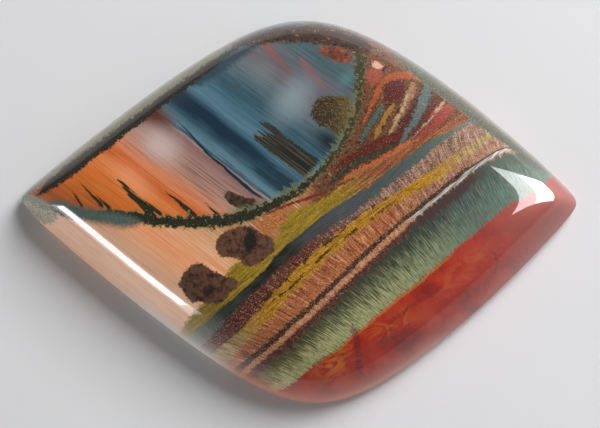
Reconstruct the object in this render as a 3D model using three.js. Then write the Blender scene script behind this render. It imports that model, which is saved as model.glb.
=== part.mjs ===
// A polished freeform cabochon of banded tiger eye, one solid stone, in millimetres, +Z up.
// Seen from above it is a soft four-sided shape: sharp at its left and right tips, rounded at its
// far and near corners. It has a flat back, a small bevel up to the widest line, a steep wall and
// a low dome. +X runs from the left tip to the right tip, and +Y away from a viewer in front.
import * as THREE from 'three';
import { mergeVertices } from 'three/addons/utils/BufferGeometryUtils.js';

// Where the four sides would meet if the corners weren't worn round, from the stone's middle.
const LEFT_TIP = new THREE.Vector2(-22.9, 1.05);
const FAR_CORNER = new THREE.Vector2(0.1, 19.1);
const RIGHT_TIP = new THREE.Vector2(22.95, 0.8);
const NEAR_CORNER = new THREE.Vector2(1.45, -18.2);

// How far each side bows out from the straight line between its corners.
const FAR_LEFT_BOW = 0.45;
const FAR_RIGHT_BOW = 1.1;
const NEAR_RIGHT_BOW = 1.0;
const NEAR_LEFT_BOW = 0.6;

// How softly neighbouring sides run into each other.
const FAR_CORNER_BLEND = 3.4;
const NEAR_CORNER_BLEND = 3.05;
const TIP_BLEND = 1.85;
const TIP_POWER = 4;

// Heights of the stone, and how its wall turns over into the dome.
const GIRDLE_HEIGHT = 0.75;
const BEVEL_WIDTH = 0.65;
const WALL_HEIGHT = 3.55;
const WALL_TURN = 1.15;
const DOME_RISE = 1.75;

// The bevel is slightly rounded: halfway up it, this share of its width is still to go.
const BEVEL_MIDDLE_SHARE = 0.3;

// A small flake is missing from the wall beside the left tip, on its near side.
const CHIP_POINT = new THREE.Vector3(-21.2, 0.2, 1.8);
const CHIP_NORMAL = new THREE.Vector3(-0.76, -0.5, 0.42).normalize();

// How finely the solid is faceted.
const RIM_POINTS = 128;
const RIM_SAMPLES = 720;
const DOME_RINGS = 19;
const RING_CROWDING = 1.9;
const MERGE_DISTANCE = 1e-4;

// The rim is looked for between the middle and this distance, by halving this many times.
const RIM_SEARCH_REACH = 40;
const RIM_SEARCH_STEPS = 48;

const STONE_COLOUR = 0x8a5a3c;

// One side of the outline: a circular arc between two corners, the stone on its right-hand side.
function makeSide(from, to, bow) {
  const chord = to.clone().sub(from);
  const length = chord.length();
  const radius = (length * length / 4 + bow * bow) / (2 * bow);
  const inward = new THREE.Vector2(chord.y, -chord.x).divideScalar(length);
  const centre = from.clone().add(to).multiplyScalar(0.5).addScaledVector(inward, radius - bow);
  return { radius, centre };
}

const farLeftSide = makeSide(LEFT_TIP, FAR_CORNER, FAR_LEFT_BOW);
const farRightSide = makeSide(FAR_CORNER, RIGHT_TIP, FAR_RIGHT_BOW);
const nearRightSide = makeSide(RIGHT_TIP, NEAR_CORNER, NEAR_RIGHT_BOW);
const nearLeftSide = makeSide(NEAR_CORNER, LEFT_TIP, NEAR_LEFT_BOW);

function depthBehind(side, x, y) {
  return side.radius - Math.hypot(x - side.centre.x, y - side.centre.y);
}

// The smaller of two depths, with the crease between them rounded over.
function softSmaller(first, second, blend) {
  return -blend * Math.log(Math.exp(-first / blend) + Math.exp(-second / blend));
}

// How deep a point lies inside the outline: 0 on the rim, and greatest near the middle.
function depthInside(x, y) {
  const far = softSmaller(
    depthBehind(farLeftSide, x, y), depthBehind(farRightSide, x, y), FAR_CORNER_BLEND);
  const near = softSmaller(
    depthBehind(nearRightSide, x, y), depthBehind(nearLeftSide, x, y), NEAR_CORNER_BLEND);
  if (Math.min(far, near) <= 0) return Math.min(far, near);
  const farShare = Math.pow(far + TIP_BLEND, -TIP_POWER);
  const nearShare = Math.pow(near + TIP_BLEND, -TIP_POWER);
  return Math.pow(farShare + nearShare, -1 / TIP_POWER) - TIP_BLEND;
}

// The rim's distance from the middle in one direction, found by halving.
function rimDistance(angle) {
  let inside = 0;
  let outside = RIM_SEARCH_REACH;
  for (let step = 0; step < RIM_SEARCH_STEPS; step += 1) {
    const middle = (inside + outside) / 2;
    if (depthInside(middle * Math.cos(angle), middle * Math.sin(angle)) > 0) inside = middle;
    else outside = middle;
  }
  return (inside + outside) / 2;
}

function rimPoint(angle) {
  const distance = rimDistance(angle);
  return new THREE.Vector2(distance * Math.cos(angle), distance * Math.sin(angle));
}

// Points spaced evenly along the rim from one direction to another, the last one left out.
function evenRimPoints(fromAngle, toAngle, count) {
  const walked = [0];
  const points = [rimPoint(fromAngle)];
  for (let i = 1; i <= RIM_SAMPLES; i += 1) {
    points.push(rimPoint(fromAngle + (toAngle - fromAngle) * i / RIM_SAMPLES));
    walked.push(walked[i - 1] + points[i].distanceTo(points[i - 1]));
  }
  const chosen = [];
  let at = 0;
  for (let i = 0; i < count; i += 1) {
    const goal = walked[RIM_SAMPLES] * i / count;
    while (walked[at + 1] < goal) at += 1;
    const share = (goal - walked[at]) / (walked[at + 1] - walked[at]);
    chosen.push(points[at].clone().lerp(points[at + 1], share));
  }
  return chosen;
}

const leftAngle = Math.atan2(LEFT_TIP.y, LEFT_TIP.x);
const rightAngle = Math.atan2(RIGHT_TIP.y, RIGHT_TIP.x);
const rim = [
  ...evenRimPoints(rightAngle, leftAngle, RIM_POINTS / 2),
  ...evenRimPoints(leftAngle, rightAngle + 2 * Math.PI, RIM_POINTS / 2),
];

const middleDepth = depthInside(0, 0);

// The polished top: a steep wall that turns over into a low dome.
function topHeight(x, y) {
  const depth = Math.max(depthInside(x, y), 0);
  const wall = WALL_HEIGHT * (1 - Math.exp(-depth / WALL_TURN));
  const short = Math.max(1 - depth / middleDepth, 0);
  return GIRDLE_HEIGHT + wall + DOME_RISE * (1 - short * short);
}

// A point outside the chip's plane is pressed straight back onto it.
function flakeOff(point) {
  const outside = point.clone().sub(CHIP_POINT).dot(CHIP_NORMAL);
  if (outside > 0) point.addScaledVector(CHIP_NORMAL, -outside);
  return point;
}

// The rings of the top crowd together towards the rim, where the wall is steep.
function domeRing(ring) {
  const share = 1 - Math.pow(ring / DOME_RINGS, RING_CROWDING);
  return rim.map((p) => {
    const x = p.x * share;
    const y = p.y * share;
    return flakeOff(new THREE.Vector3(x, y, topHeight(x, y)));
  });
}

function backRing(inset, height) {
  return rim.map((p) => {
    const share = 1 - inset / p.length();
    return flakeOff(new THREE.Vector3(p.x * share, p.y * share, height));
  });
}

// Rings from the back's rim up to the dome, closed by a fan at the back and one at the top.
function makeStoneGeometry() {
  const rings = [
    backRing(BEVEL_WIDTH, 0),
    backRing(BEVEL_WIDTH * BEVEL_MIDDLE_SHARE, GIRDLE_HEIGHT / 2),
  ];
  for (let ring = 0; ring < DOME_RINGS; ring += 1) rings.push(domeRing(ring));
  const back = new THREE.Vector3(0, 0, 0);
  const crown = new THREE.Vector3(0, 0, topHeight(0, 0));
  const corners = [];
  const first = rings[0];
  const last = rings[rings.length - 1];
  for (let i = 0; i < RIM_POINTS; i += 1) {
    const next = (i + 1) % RIM_POINTS;
    corners.push(back, first[next], first[i]);
    for (let r = 0; r + 1 < rings.length; r += 1) {
      corners.push(rings[r][i], rings[r][next], rings[r + 1][next]);
      corners.push(rings[r][i], rings[r + 1][next], rings[r + 1][i]);
    }
    corners.push(last[i], last[next], crown);
  }
  return mergeVertices(new THREE.BufferGeometry().setFromPoints(corners), MERGE_DISTANCE);
}

// The origin is under the middle of the stone's own box, on the face it rests on.
function centreOnBack(geometry) {
  geometry.computeBoundingBox();
  const middle = geometry.boundingBox.getCenter(new THREE.Vector3());
  geometry.translate(-middle.x, -middle.y, 0);
  return geometry;
}

const polishedStone = new THREE.MeshStandardMaterial({
  color: STONE_COLOUR,
  roughness: 0.12,
  metalness: 0.0,
});

const stoneGeometry = centreOnBack(makeStoneGeometry());
stoneGeometry.computeVertexNormals();
const cabochon = new THREE.Mesh(stoneGeometry, polishedStone);
cabochon.name = 'cabochon';

const model = new THREE.Group();
model.add(cabochon);

export default model;
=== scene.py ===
# %% [markdown]
# # A polished marra mamba tiger eye
#
# This lesson builds one cut and polished stone: a freeform cabochon with a flat back, a steep wall
# and a low dome, lying on pale paper. The shape is simple. The work is in its pattern: silky fibres,
# iron-dark veins, gold and green seams and a bed of red jasper, all under one clear polish.
#
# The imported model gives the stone's place and size in metres. Everything below fits that frame.

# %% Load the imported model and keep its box
import math

import bmesh
import bpy
from mathutils import Matrix, Vector


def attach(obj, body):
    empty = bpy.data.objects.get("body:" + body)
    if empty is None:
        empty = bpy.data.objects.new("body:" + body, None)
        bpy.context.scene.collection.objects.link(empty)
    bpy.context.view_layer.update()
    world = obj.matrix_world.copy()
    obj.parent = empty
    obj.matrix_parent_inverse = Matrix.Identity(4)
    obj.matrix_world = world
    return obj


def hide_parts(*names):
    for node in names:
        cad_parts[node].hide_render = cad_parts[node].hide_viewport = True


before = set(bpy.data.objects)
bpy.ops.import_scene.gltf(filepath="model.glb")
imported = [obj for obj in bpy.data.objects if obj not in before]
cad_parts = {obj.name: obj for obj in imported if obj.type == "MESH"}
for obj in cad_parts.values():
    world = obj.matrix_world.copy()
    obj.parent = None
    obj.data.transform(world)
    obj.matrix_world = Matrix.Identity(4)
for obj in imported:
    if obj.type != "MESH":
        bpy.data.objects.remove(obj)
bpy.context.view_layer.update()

# %% [markdown]
# ## The camera
#
# A photograph of a small stone is taken from about a forearm's length with a long lens, so the
# stone's far and near edges come out nearly the same size. The camera stands in front of the stone
# and looks down on it, tilted 15 degrees away from straight overhead. It could be placed by a
# Track To constraint, but one rotation about X says the same and stays readable.

# %% Place the camera
MM = 0.001
VIEW_TILT = math.radians(15)
VIEW_TARGET = Vector((0.1, -0.93, 2.5)) * MM
VIEW_DISTANCE = 248.5 * MM
LENS_LENGTH = 186
SENSOR_WIDTH = 36

camera_data = bpy.data.cameras.new("camera")
camera_data.lens = LENS_LENGTH
camera_data.sensor_width = SENSOR_WIDTH
camera_data.clip_start = 10 * MM
camera = bpy.data.objects.new("camera", camera_data)
back_along_view = Vector((0, -math.sin(VIEW_TILT), math.cos(VIEW_TILT)))
camera.location = VIEW_TARGET + back_along_view * VIEW_DISTANCE
camera.rotation_euler = (VIEW_TILT, 0, 0)
bpy.context.scene.collection.objects.link(camera)
bpy.context.scene.camera = camera
print("camera at", tuple(round(v, 4) for v in camera.location))

# %% [markdown]
# ## The stone's outline
#
# A cutter grinds four nearly straight sides and then wears the corners round. The same idea works
# as a formula: each side is a shallow circular arc, and a point's depth is how far it lies behind
# the nearest arc. A plain smallest-of-four would give four sharp corners. A soft smallest-of-two
# rounds the far and the near corner, and a steeper blend keeps the left and right tips sharp.

# %% Values of the outline, in millimetres
LEFT_TIP = Vector((-22.9, 1.05))
FAR_CORNER = Vector((0.1, 19.1))
RIGHT_TIP = Vector((22.95, 0.8))
NEAR_CORNER = Vector((1.45, -18.2))
FAR_CORNER_BLEND = 3.4
NEAR_CORNER_BLEND = 3.05
TIP_BLEND = 1.85
TIP_POWER = 4


def make_side(start, end, bow):
    """A circular arc between two corners, with the stone on its right-hand side."""
    chord = end - start
    radius = (chord.length_squared / 4 + bow * bow) / (2 * bow)
    inward = Vector((chord.y, -chord.x)).normalized()
    return radius, (start + end) / 2 + inward * (radius - bow)


FAR_LEFT_SIDE = make_side(LEFT_TIP, FAR_CORNER, bow=0.45)
FAR_RIGHT_SIDE = make_side(FAR_CORNER, RIGHT_TIP, bow=1.1)
NEAR_RIGHT_SIDE = make_side(RIGHT_TIP, NEAR_CORNER, bow=1.0)
NEAR_LEFT_SIDE = make_side(NEAR_CORNER, LEFT_TIP, bow=0.6)
for side_radius, _ in (FAR_LEFT_SIDE, FAR_RIGHT_SIDE, NEAR_RIGHT_SIDE, NEAR_LEFT_SIDE):
    print("side ground to a radius of", round(side_radius), "mm")


# %% Depth inside the outline
def depth_behind(side, x, y):
    radius, centre = side
    return radius - math.hypot(x - centre.x, y - centre.y)


def soft_smaller(first, second, blend):
    return -blend * math.log(math.exp(-first / blend) + math.exp(-second / blend))


def depth_inside(x, y):
    """Millimetres from the rim: 0 on it, and greatest near the stone's middle."""
    far = soft_smaller(
        depth_behind(FAR_LEFT_SIDE, x, y), depth_behind(FAR_RIGHT_SIDE, x, y), FAR_CORNER_BLEND)
    near = soft_smaller(
        depth_behind(NEAR_RIGHT_SIDE, x, y), depth_behind(NEAR_LEFT_SIDE, x, y), NEAR_CORNER_BLEND)
    if min(far, near) <= 0:
        return min(far, near)
    shares = (far + TIP_BLEND) ** -TIP_POWER + (near + TIP_BLEND) ** -TIP_POWER
    return shares ** (-1 / TIP_POWER) - TIP_BLEND


MIDDLE_DEPTH = depth_inside(0, 0)
print("depth at the middle:", round(MIDDLE_DEPTH, 2), "mm")

# %% [markdown]
# ## Points along the rim
#
# The mesh needs points spread evenly along the rim, or the sharp tips would get too few. Each
# direction's rim point is found by halving: step inward or outward until the depth is nought.

# %% Walk round the rim
RIM_POINTS = 480
RIM_SAMPLES = 1080
RIM_SEARCH_REACH = 40
RIM_SEARCH_STEPS = 32


def rim_point(angle):
    direction = Vector((math.cos(angle), math.sin(angle)))
    inside, outside = 0.0, RIM_SEARCH_REACH
    for _ in range(RIM_SEARCH_STEPS):
        middle = (inside + outside) / 2
        if depth_inside(*(direction * middle)) > 0:
            inside = middle
        else:
            outside = middle
    return direction * inside


def even_rim_points(start, end, count):
    """Points spaced evenly along the rim from one direction to another, the last one left out."""
    points = [rim_point(start + (end - start) * i / RIM_SAMPLES) for i in range(RIM_SAMPLES + 1)]
    walked = [0.0]
    for a, b in zip(points, points[1:]):
        walked.append(walked[-1] + (b - a).length)
    chosen, at = [], 0
    for i in range(count):
        goal = walked[-1] * i / count
        while walked[at + 1] < goal:
            at += 1
        share = (goal - walked[at]) / (walked[at + 1] - walked[at])
        chosen.append(points[at].lerp(points[at + 1], share))
    return chosen


left_angle = math.atan2(LEFT_TIP.y, LEFT_TIP.x)
right_angle = math.atan2(RIGHT_TIP.y, RIGHT_TIP.x)
rim = even_rim_points(right_angle, left_angle, RIM_POINTS // 2)
rim += even_rim_points(left_angle, right_angle + 2 * math.pi, RIM_POINTS // 2)
rim_middle = Vector((
    (min(p.x for p in rim) + max(p.x for p in rim)) / 2,
    (min(p.y for p in rim) + max(p.y for p in rim)) / 2))
print("rim of", len(rim), "points round", tuple(round(v, 2) for v in rim_middle))

# %% [markdown]
# ## Heights of the polished top
#
# The wall climbs steeply from the widest line, turns over within about two millimetres and runs
# out into a low dome. An exponential gives the turn without any visible join, which matters on a
# mirror polish: a reflection shows a crease that plain shading would hide. A small flake is missing
# at the left tip, so points outside one slanting plane are pressed back onto it.

# %% The height formula and the flake
GIRDLE_HEIGHT = 0.75
WALL_HEIGHT = 3.55
WALL_TURN = 1.15
DOME_RISE = 1.75
CHIP_POINT = Vector((-21.2, 0.2, 1.8))
CHIP_NORMAL = Vector((-0.76, -0.5, 0.42)).normalized()


def top_point(x, y):
    depth = max(depth_inside(x, y), 0.0)
    wall = WALL_HEIGHT * (1 - math.exp(-depth / WALL_TURN))
    short = max(1 - depth / MIDDLE_DEPTH, 0.0)
    return Vector((x, y, GIRDLE_HEIGHT + wall + DOME_RISE * (1 - short * short)))


def flake_off(point):
    outside = (point - CHIP_POINT).dot(CHIP_NORMAL)
    return point - CHIP_NORMAL * max(outside, 0.0)


print("crown of the dome:", round(top_point(0, 0).z, 2), "mm high")

# %% [markdown]
# ## The stone's mesh
#
# A sphere already has what a closed stone needs: rings, a pole at the top and one at the back. So
# a sphere is made by its bmesh operator, and each of its rings is moved to its place on the stone:
# most rings to the top, crowded towards the rim where the wall is steep, and a few to the bevel
# and the flat back. Sculpting would take longer, and would leave lumps that the polish shows.

# %% Shape a sphere into the stone
DOME_RINGS = 72
RING_CROWDING = 1.9
BACK_RINGS = [(0.12, 0.62), (0.3, 0.4), (0.58, 0.06), (0.68, 0.0), (0.95, 0.0)]
ALL_RINGS = DOME_RINGS + len(BACK_RINGS) + 1


def stone_point(ring, i):
    """Where the sphere's point on one ring goes: ring 0 is the crown, the last one the back."""
    p = rim[i]
    if ring <= DOME_RINGS:
        share = 1 - (1 - ring / DOME_RINGS) ** RING_CROWDING
        return flake_off(top_point(*(p * share)))
    if ring == ALL_RINGS:
        return Vector((0, 0, 0))
    inset, height = BACK_RINGS[ring - DOME_RINGS - 1]
    return flake_off((p * (1 - inset / p.length)).to_3d() + Vector((0, 0, height)))


bm = bmesh.new()
bmesh.ops.create_uvsphere(bm, u_segments=RIM_POINTS, v_segments=ALL_RINGS, radius=1)
for vert in bm.verts:
    ring = round(math.acos(max(-1.0, min(1.0, vert.co.z))) / math.pi * ALL_RINGS)
    around = round(math.atan2(vert.co.y, vert.co.x) / (2 * math.pi) * RIM_POINTS) % RIM_POINTS
    vert.co = stone_point(ring, around)
bmesh.ops.translate(bm, verts=bm.verts, vec=(-rim_middle.x, -rim_middle.y, 0))
bmesh.ops.scale(bm, verts=bm.verts, vec=(MM, MM, MM))
bmesh.ops.recalc_face_normals(bm, faces=bm.faces)
for face in bm.faces:
    face.smooth = True
print("sphere shaped into the stone:", ALL_RINGS, "rings of", RIM_POINTS, "points")

# %% Make it an object in place of the plain solid
stone_mesh = bpy.data.meshes.new("tiger_eye_stone")
bm.to_mesh(stone_mesh)
bm.free()
stone = bpy.data.objects.new("tiger_eye_stone", stone_mesh)
bpy.context.scene.collection.objects.link(stone)
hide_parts("cabochon")
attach(stone, "root")
print("stone mesh:", len(stone_mesh.vertices), "points,", len(stone_mesh.polygons), "faces")

# %% [markdown]
# ## Writing shader nodes as plain sums
#
# The stone's pattern takes several hundred nodes. Placed one by one they would hide the idea, so a
# small helper is made first. A Wire holds one output socket, and adding, taking away or scaling
# two wires adds the Math node that does it. A band's mask then reads as it would on paper:
# `smooth(half_width - abs(across))`. Each line still makes ordinary nodes that can be looked at
# in the shader editor.

# %% Wires and the nodes they come from


class Wire:
    """One output socket of a shader node, which can be used in sums."""

    def __init__(self, socket):
        self.socket = socket

    def __add__(self, other):
        return maths("ADD", self, other)

    def __radd__(self, other):
        return maths("ADD", other, self)

    def __sub__(self, other):
        return maths("SUBTRACT", self, other)

    def __rsub__(self, other):
        return maths("SUBTRACT", other, self)

    def __mul__(self, other):
        return maths("MULTIPLY", self, other)

    def __rmul__(self, other):
        return maths("MULTIPLY", other, self)

    def __abs__(self):
        return maths("ABSOLUTE", self)


def add_node(tree, kind, inputs=None, **settings):
    """Adds a shader node, sets what it is told, and links each input that is a wire."""
    node = tree.nodes.new("ShaderNode" + kind)
    for name, value in settings.items():
        setattr(node, name, value)
    for key, value in (inputs or {}).items():
        if isinstance(value, Wire):
            tree.links.new(value.socket, node.inputs[key])
        else:
            node.inputs[key].default_value = value
    return node


def tree_of(*values):
    return next(v for v in values if isinstance(v, Wire)).socket.id_data


def maths(operation, *values):
    node = add_node(tree_of(*values), "Math", dict(enumerate(values)), operation=operation)
    return Wire(node.outputs[0])


def smaller(a, b):
    return maths("MINIMUM", a, b)


def larger(a, b):
    return maths("MAXIMUM", a, b)


# %% Soft steps, mixing and colour ramps
SOFT_EDGE = 0.04


def smooth(value, low=-SOFT_EDGE, high=SOFT_EDGE):
    """0 below low, 1 above high, and an even ease between them."""
    node = add_node(value.socket.id_data, "MapRange",
                    {"Value": value, "From Min": low, "From Max": high},
                    interpolation_type="SMOOTHSTEP")
    return Wire(node.outputs["Result"])


def spread(value, low, high):
    """The value's share of the way from low to high, kept between 0 and 1."""
    node = add_node(value.socket.id_data, "MapRange",
                    {"Value": value, "From Min": low, "From Max": high})
    return Wire(node.outputs["Result"])


def shade(red, green, blue):
    """A screen colour from 0 to 255, as the linear colour that a shader wants."""
    linear = []
    for level in (red / 255, green / 255, blue / 255):
        linear.append(level / 12.92 if level <= 0.04045 else ((level + 0.055) / 1.055) ** 2.4)
    return (*linear, 1.0)


# A Mix node set to colours has its factor at input 0, its colours at 6 and 7, its result at 2.
MIX_FACTOR, MIX_BELOW, MIX_ABOVE, MIX_RESULT = 0, 6, 7, 2


def paint(below, mask, above):
    """Lays one colour over another where the mask is 1. A colour is a wire or a screen colour."""
    node = add_node(tree_of(mask, below, above), "Mix", data_type="RGBA")
    for index, value in ((MIX_FACTOR, mask), (MIX_BELOW, below), (MIX_ABOVE, above)):
        if isinstance(value, Wire):
            node.id_data.links.new(value.socket, node.inputs[index])
        else:
            node.inputs[index].default_value = shade(*value)
    return Wire(node.outputs[MIX_RESULT])


def ramp(value, stops, low=0.0, high=1.0):
    """A colour ramp whose stops are given in the value's own units, between low and high."""
    scaled = spread(value, low, high) if (low, high) != (0.0, 1.0) else value
    node = add_node(value.socket.id_data, "ValToRGB", {"Fac": scaled})
    points = node.color_ramp.elements
    while len(points) < len(stops):
        points.new(0.5)
    for point, (at, colour) in zip(points, stops):
        point.position = (at - low) / (high - low)
        point.color = shade(*colour)
    return Wire(node.outputs["Color"])


def tones(value, *colours):
    """A colour ramp through evenly spaced colours."""
    last = len(colours) - 1
    return ramp(value, [(i / last, colour) for i, colour in enumerate(colours)])


print("a mid grey of 128 is", round(shade(128, 128, 128)[0], 3), "as linear light")


# %% Curves that are drawn by a few points
def curve(value, points, low, high, bottom, top):
    """A smooth curve through (value, result) points, both in millimetres."""
    node = add_node(value.socket.id_data, "FloatCurve", {"Value": spread(value, low, high)})
    line = node.mapping.curves[0]
    while len(line.points) < len(points):
        line.points.new(0.5, 0.5)
    for point, (at, result) in zip(line.points, points):
        point.location = ((at - low) / (high - low), (result - bottom) / (top - bottom))
        point.handle_type = "AUTO_CLAMPED"
    node.mapping.update()
    return maths("MULTIPLY_ADD", Wire(node.outputs[0]), top - bottom, bottom)


# %% [markdown]
# ## Places in the stone
#
# The pattern is laid out in millimetres on the stone's own Object coordinates, so it stays in the
# stone from every side. In the real stone the layers don't stand quite upright: they lean back by
# about fifteen degrees, so a seam that leaves the top runs on down the wall at a slant. Adding a
# share of the height to Y gives that lean.
#
# Most features run along a direction of their own: the silk falls to the right, the beds climb to
# the right. So a place is kept as a pair, X and Y, and `local` gives the same place as seen from
# another origin, turned and rescaled. A Mapping node could do that too, but plain sums are easy to
# follow in the node editor, and the renderer works through a long chain of them in less memory.

# %% Helpers for places and noise
LAYER_LEAN = math.tan(math.radians(15))


def local(place, origin=(0, 0), angle=0.0, size=(1, 1)):
    """The place seen from an origin, turned by an angle in degrees, in units of size."""
    x, y = place
    axes = []
    for turn, unit in ((angle, size[0]), (angle + 90, size[1])):
        share_x = math.cos(math.radians(turn)) / unit
        share_y = math.sin(math.radians(turn)) / unit
        start = -(origin[0] * share_x + origin[1] * share_y)
        axes.append(maths("MULTIPLY_ADD", x, share_x, maths("MULTIPLY_ADD", y, share_y, start)))
    return axes


def noise(place, scale=1.0, detail=3.0, roughness=0.6, depth=None, distortion=0.0):
    """Cloudy noise between 0 and 1, with about scale lumps to the unit."""
    tree = place[0].socket.id_data
    x, y = place
    z = 0.0 if depth is None else depth
    vector = Wire(add_node(tree, "CombineXYZ", {0: x, 1: y, 2: z}).outputs[0])
    node = add_node(tree, "TexNoise", {"Vector": vector},
                    noise_dimensions="2D" if depth is None else "3D")
    node.inputs["Scale"].default_value = scale
    node.inputs["Detail"].default_value = detail
    node.inputs["Roughness"].default_value = roughness
    node.inputs["Distortion"].default_value = distortion
    return Wire(node.outputs["Fac"])


print("the layers lean back", round(LAYER_LEAN, 3), "mm for each mm of height")


# %% [markdown]
# ## A ribbon, built once as a node group
#
# Veins, barbs and seams are all ribbons: they start somewhere, end somewhere, bow a little, and
# have a width that changes and an edge that isn't quite clean. One node group holds that sum, and
# each ribbon is a copy of it with its own numbers.

# %% The ribbon group
RIBBON_INPUTS = ["X", "Y", "Start X", "Start Y", "End X", "End Y", "Bow", "Start Half Width",
                 "End Half Width", "Ragged", "Softness"]
ROUND_END = 6.0


def start_group(name, inputs, outputs):
    """A new node group of number sockets, its input wires by name, and its output node."""
    tree = bpy.data.node_groups.new(name, "ShaderNodeTree")
    for direction, names in (("INPUT", inputs), ("OUTPUT", outputs)):
        for socket_name in names:
            tree.interface.new_socket(socket_name, in_out=direction, socket_type="NodeSocketFloat")
    entry = tree.nodes.new("NodeGroupInput")
    wires = {socket_name: Wire(entry.outputs[socket_name]) for socket_name in inputs}
    return tree, wires, tree.nodes.new("NodeGroupOutput")


def make_ribbon_group():
    tree, given, result = start_group("ribbon", RIBBON_INPUTS, ["Mask"])
    run_x = given["End X"] - given["Start X"]
    run_y = given["End Y"] - given["Start Y"]
    length = maths("SQRT", run_x * run_x + run_y * run_y)
    from_x = given["X"] - given["Start X"]
    from_y = given["Y"] - given["Start Y"]
    along = maths("DIVIDE", from_x * run_x + from_y * run_y, length * length)
    across = maths("DIVIDE", from_y * run_x - from_x * run_y, length)
    to_end = smaller(along, 1.0 - along)
    middle = given["Bow"] * 4.0 * along * (1.0 - along)
    width = given["Start Half Width"] + (given["End Half Width"] - given["Start Half Width"]) * along
    rounded = maths("SQRT", smaller(larger(to_end * ROUND_END, 0.0), 1.0))
    inside = smaller(width * rounded - abs(across - middle), to_end * length)
    edge = add_node(tree, "MapRange", {
        "Value": inside + given["Ragged"], "From Min": given["Softness"] * -1.0,
        "From Max": given["Softness"]}, interpolation_type="SMOOTHSTEP")
    tree.links.new(edge.outputs["Result"], result.inputs["Mask"])
    return tree


ribbon_group = make_ribbon_group()
print("ribbon group:", len(ribbon_group.nodes), "nodes")


def ribbon(place, start, end, widths, bow=0.0, ragged=0.0, soft=SOFT_EDGE):
    """The mask of a ribbon between two places: widths are its half widths at start and end."""
    values = (*place, *start, *end, bow, *widths, ragged, soft)
    node = add_node(place[0].socket.id_data, "Group", node_tree=ribbon_group)
    for name, value in zip(RIBBON_INPUTS, values):
        if isinstance(value, Wire):
            node.id_data.links.new(value.socket, node.inputs[name])
        else:
            node.inputs[name].default_value = value
    return Wire(node.outputs["Mask"])


# %% [markdown]
# ## Lumps and clouds
#
# Dark lumps of iron ore sit in the silk with outlines of their own. Such an outline is drawn as a
# clock face: from the lump's centre, how far it reaches in a ring of evenly spaced directions.
# A Float Curve joins those distances smoothly, and noise frays the edge. A cloud is simpler, a
# soft oval for stains and hazes.

# %% Round outlines
def from_centre(place, centre):
    """Distance from a centre, and the direction to it as a share of a full turn."""
    x, y = local(place, centre)
    distance = maths("SQRT", maths("MULTIPLY_ADD", x, x, y * y))
    return distance, maths("MULTIPLY_ADD", maths("ARCTAN2", y, x), 0.5 / math.pi, 0.5)


def lump(place, centre, reaches, ragged=0.0, soft=SOFT_EDGE):
    """A lump whose reach is given in even steps of direction, from the left round by below."""
    distance, turn = from_centre(place, centre)
    steps = len(reaches)
    points = [(i / steps, reach) for i, reach in enumerate(reaches)] + [(1.0, reaches[0])]
    reach = curve(turn, points, 0.0, 1.0, 0.0, max(reaches))
    return smooth(reach - distance + ragged, -soft, soft)


def cloud(place, centre, angle, size):
    """A soft oval patch: 1 at its centre, fading to 0 at its size."""
    x, y = local(place, centre, angle, size)
    return smooth(maths("SQRT", maths("MULTIPLY_ADD", x, x, y * y)), 1.0, 0.0)


# %% [markdown]
# ## The stone's material begins
#
# The pattern is painted in order, from the oldest layer to the youngest, each over the last. That
# order also keeps the node tree light, because only the latest colour has to be carried along.
#
# First come the places that everything else uses. `ruled` is the place in millimetres, and in
# `place` a slow drift bends every straight line by a tenth of a millimetre or so, as nothing in a
# stone is ruled.

# %% Start the material and its places
stone_material = bpy.data.materials.new("polished_stone")
stone_material.use_nodes = True
tree = stone_material.node_tree
tree.nodes.clear()
stone_mesh.materials.append(stone_material)

PATTERN_MIDDLE = (0.11, 0.01)
object_place = Wire(add_node(tree, "TexCoord").outputs["Object"])
axes = add_node(tree, "SeparateXYZ", {0: object_place}).outputs
height = Wire(axes[2]) * (1 / MM)
ruled_x = maths("MULTIPLY_ADD", Wire(axes[0]), 1 / MM, -PATTERN_MIDDLE[0])
ruled_y = maths("MULTIPLY_ADD", Wire(axes[1]), 1 / MM, -PATTERN_MIDDLE[1])
ruled = (ruled_x, maths("MULTIPLY_ADD", height, LAYER_LEAN, ruled_y))

DRIFT = 0.35
drift_x = noise(ruled, 0.45)
drift_y = noise(local(ruled, origin=(40, 0)), 0.45)
place = (ruled[0] + maths("MULTIPLY_ADD", drift_x, DRIFT, -DRIFT / 2),
         ruled[1] + maths("MULTIPLY_ADD", drift_y, DRIFT, -DRIFT / 2))
print("drift moves a line by up to", DRIFT / 2, "mm")

# %% Frames for the silk and for the beds
SILK_ANGLE = -38
BED_ORIGIN = (6.3, -4.2)
BED_ANGLE = 40

FAN_SPREAD = 0.033
FAN_START_LEAN = -0.09
FAN_PIVOT = 1.5

silk_along, silk_across = local(place, angle=SILK_ANGLE)
bed_along, bed_up = local(place, BED_ORIGIN, BED_ANGLE)
bed_down = bed_up * -1.0
# The fibres across the beds fan out: their lean grows with each millimetre along the beds.
fan_start, fan_up = local(ruled, BED_ORIGIN, BED_ANGLE)
fan_lean = maths("MULTIPLY_ADD", fan_start, FAN_SPREAD, FAN_START_LEAN)
fan = (maths("MULTIPLY_ADD", fan_up + FAN_PIVOT, fan_lean * -1.0, fan_start), fan_up)
print("silk falls at", SILK_ANGLE, "degrees, and the beds climb at", BED_ANGLE)

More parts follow.
